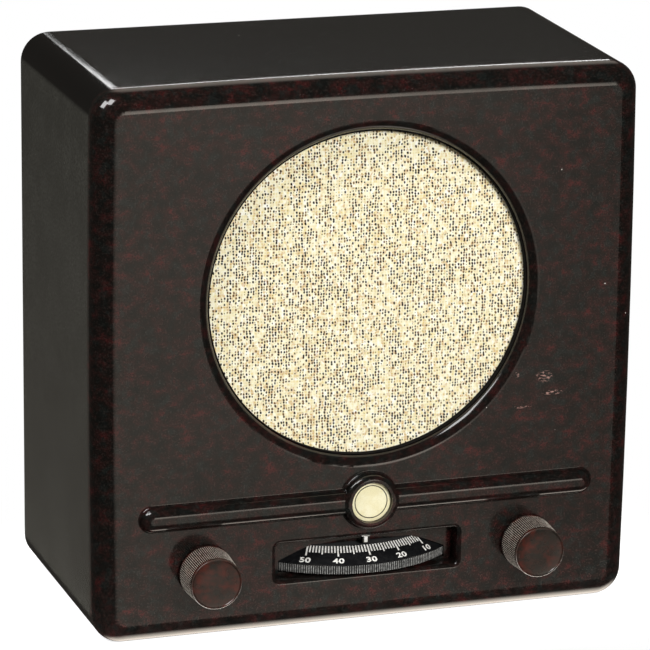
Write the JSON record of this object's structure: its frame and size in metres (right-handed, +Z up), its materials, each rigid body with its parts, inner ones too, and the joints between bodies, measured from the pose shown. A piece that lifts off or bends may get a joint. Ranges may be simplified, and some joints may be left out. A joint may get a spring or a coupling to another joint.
{
  "type": "tabletop radio",
  "caption": "Square table radio in a mottled moulded cabinet: round cloth-covered speaker opening, raised band with a disc, edgewise tuning disc in a window and two fluted knobs.",
  "frame": {"origin": "centre of the flat underside, halfway between the cabinet's front face and its back edge", "axes": "+Z up, +Y from the front face to the back cover, +X to the right as seen from the front"},
  "size_m": [0.2428, 0.137, 0.2414],
  "materials": {
    "bakelite": "mottled dark brown and oxblood moulded resin, polished",
    "knob_resin": "mottled dark moulded resin, fluted",
    "dial_black": "black moulded resin with white scale",
    "ivory": "ivory-coloured moulded disc",
    "pointer": "black peg with a white face",
    "cloth": "coarse cream woven grille cloth",
    "baffle": "pressed wood-fibre board",
    "paper": "stiff grey-brown paper",
    "chassis": "brown laminated paper board, satin",
    "steel": "zinc-plated pressed steel",
    "iron": "dull magnet steel",
    "aluminium": "bare sheet",
    "brass": "turned brass",
    "copper_coil": "varnished copper wire",
    "glass": "clear thin glass",
    "valve_base": "black moulded valve base",
    "electrodes": "dark nickel sheet",
    "wax_paper": "waxed paper tube",
    "can": "lacquered card can",
    "ceramic": "glazed ceramic tube with resistance wire",
    "resistor": "lacquered carbon resistor",
    "cover": "brown pressed paper board",
    "rubber": "black rubber"
  },
  "bodies": {
    "cabinet": {"cabinet": "bakelite", "emblem_disc": "ivory", "dial_pointer": "pointer", "floor_bearing": "brass", "tuner_frame": "aluminium", "tuner_stator": "aluminium", "tuner_screws": "steel", "panel_bushes": "brass", "panel_nuts": "brass", "aerial_coil": "copper_coil", "coil_bracket": "chassis", "reaction_frame": "chassis", "reaction_stator": "aluminium", "mains_switch": "valve_base", "grille_cloth": "cloth", "baffle_board": "baffle", "baffle_screws": "steel", "speaker_basket": "steel", "speaker_screws": "steel", "cone_surround": "cloth", "reed_clamp": "brass", "speaker_magnet": "iron", "pole_shoes": "iron", "speaker_coil": "copper_coil", "chassis_board": "chassis", "chassis_screws": "steel", "valve_sockets": "chassis", "output_valve_base": "valve_base", "output_valve_glass": "glass", "output_valve_electrodes": "electrodes", "rectifier_valve_base": "valve_base", "rectifier_valve_glass": "glass", "rectifier_valve_electrodes": "electrodes", "filter_capacitors": "can", "paper_capacitors": "wax_paper", "resistors": "resistor", "dropper_resistor": "ceramic", "fuse_holder": "chassis", "fuse": "glass", "coil_former": "chassis", "coil_winding": "copper_coil", "aerial_strip": "chassis", "aerial_sockets": "brass", "back_cover": "cover", "cover_screws": "steel", "inlet_grommet": "rubber"},
    "tuning": {"tuning_disc": "dial_black", "disc_set_screw": "steel", "tuning_spindle": "steel", "tuner_rotor": "aluminium"},
    "coupler": {"left_knob": "knob_resin", "left_shaft": "steel", "coupling_arm": "chassis", "coupling_coil": "copper_coil"},
    "reaction": {"right_knob": "knob_resin", "right_shaft": "steel", "reaction_rotor": "aluminium"},
    "diaphragm": {"speaker_cone": "paper", "drive_rod": "steel", "armature_reed": "steel"}
  },
  "joints": [
    {"name": "tuning_turn", "type": "hinge", "parent": "cabinet", "child": "tuning", "pos_m": [0, -0.0073, 0.03], "axis": [0, 0, 1], "range_deg": [-45.9, 104.1]},
    {"name": "coupler_turn", "type": "hinge", "parent": "cabinet", "child": "coupler", "pos_m": [-0.0727, 0, 0.0306], "axis": [0, 1, 0], "range_deg": [-90, 0]},
    {"name": "reaction_turn", "type": "hinge", "parent": "cabinet", "child": "reaction", "pos_m": [0.0727, 0, 0.0306], "axis": [0, 1, 0], "range_deg": [0, 180]},
    {"name": "cone_travel", "type": "slide", "parent": "cabinet", "child": "diaphragm", "axis": [0, 1, 0], "range_m": [-0.0005, 0.0005], "stiffness_N_per_m": 1500}
  ]
}
